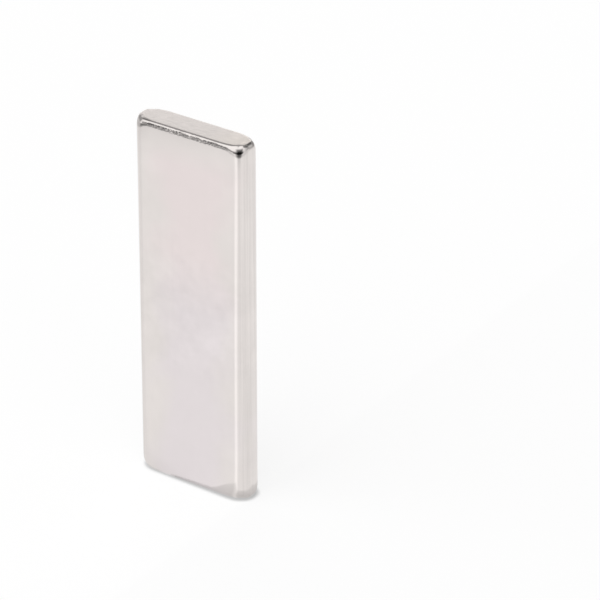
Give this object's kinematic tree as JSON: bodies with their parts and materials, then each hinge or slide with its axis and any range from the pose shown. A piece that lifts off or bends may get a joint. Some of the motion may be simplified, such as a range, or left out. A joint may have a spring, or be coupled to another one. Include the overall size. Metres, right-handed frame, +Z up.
{
  "type": "block magnet",
  "caption": "Flat rectangular bar magnet with rounded edges and bright plating, standing on one narrow end.",
  "frame": {"origin": "centre of the narrow end that the magnet stands on", "axes": "+Z up the length, +X across the width, +Y through the thickness from the front pole face to the back one"},
  "size_m": [0.02, 0.005, 0.06],
  "materials": {
    "nickel_plate": "bright nickel plate, mirror-like on the two wide faces and satin on the ground ends"
  },
  "bodies": {
    "root": {"block_magnet": "nickel_plate"}
  },
  "joints": []
}
